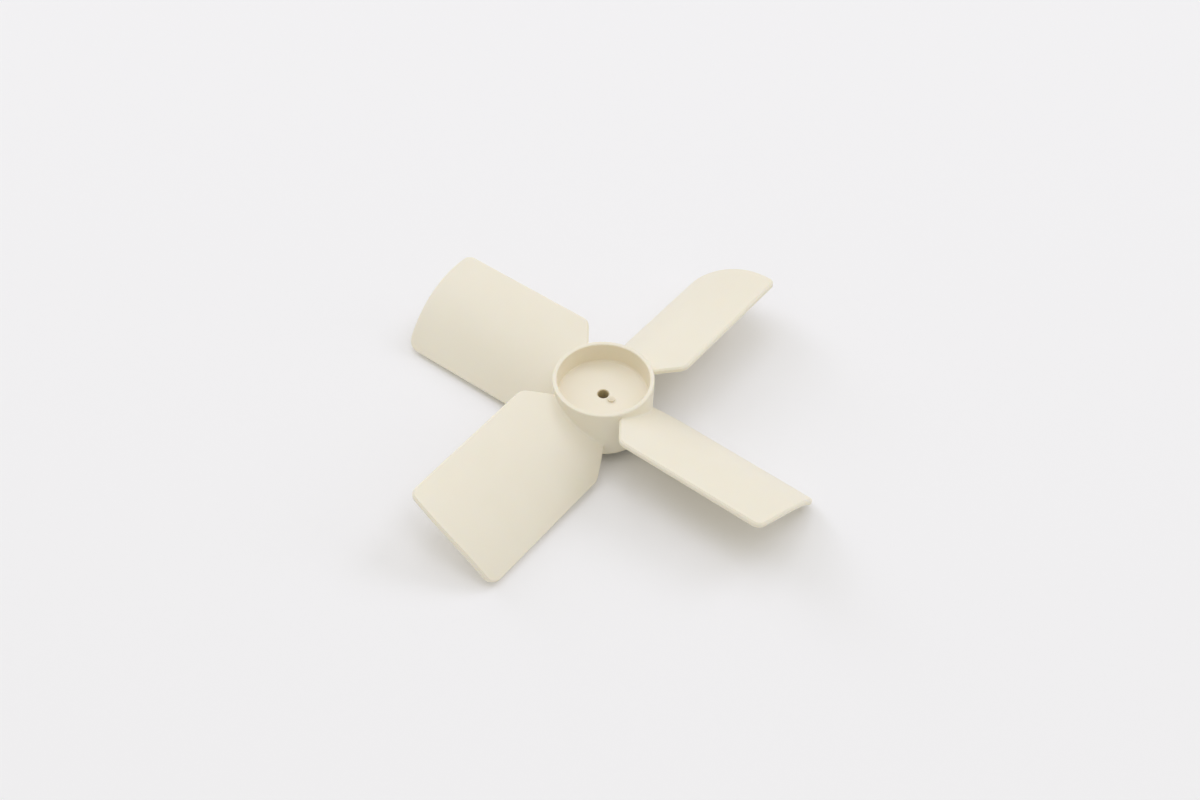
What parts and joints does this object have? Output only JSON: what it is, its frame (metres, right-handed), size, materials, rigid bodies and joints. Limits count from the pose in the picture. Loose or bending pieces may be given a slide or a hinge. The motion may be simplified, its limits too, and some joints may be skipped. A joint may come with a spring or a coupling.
{
  "type": "axial fan impeller",
  "caption": "One-piece moulded axial fan impeller: cambered, pitched blades on a cup-shaped hub with a small central shaft bore.",
  "frame": {"origin": "centre of the shaft axis in the plane of the boss's free end, which the fan stands on", "axes": "+Z along the shaft axis, from the foot of the hub towards the open cup; +X along the crown of one blade, with the others at every quarter turn"},
  "size_m": [0.127, 0.127, 0.0193],
  "materials": {
    "cream_plastic": "cream injection-moulded plastic with a fine matte surface"
  },
  "bodies": {
    "root": {"impeller": "cream_plastic"}
  },
  "joints": []
}
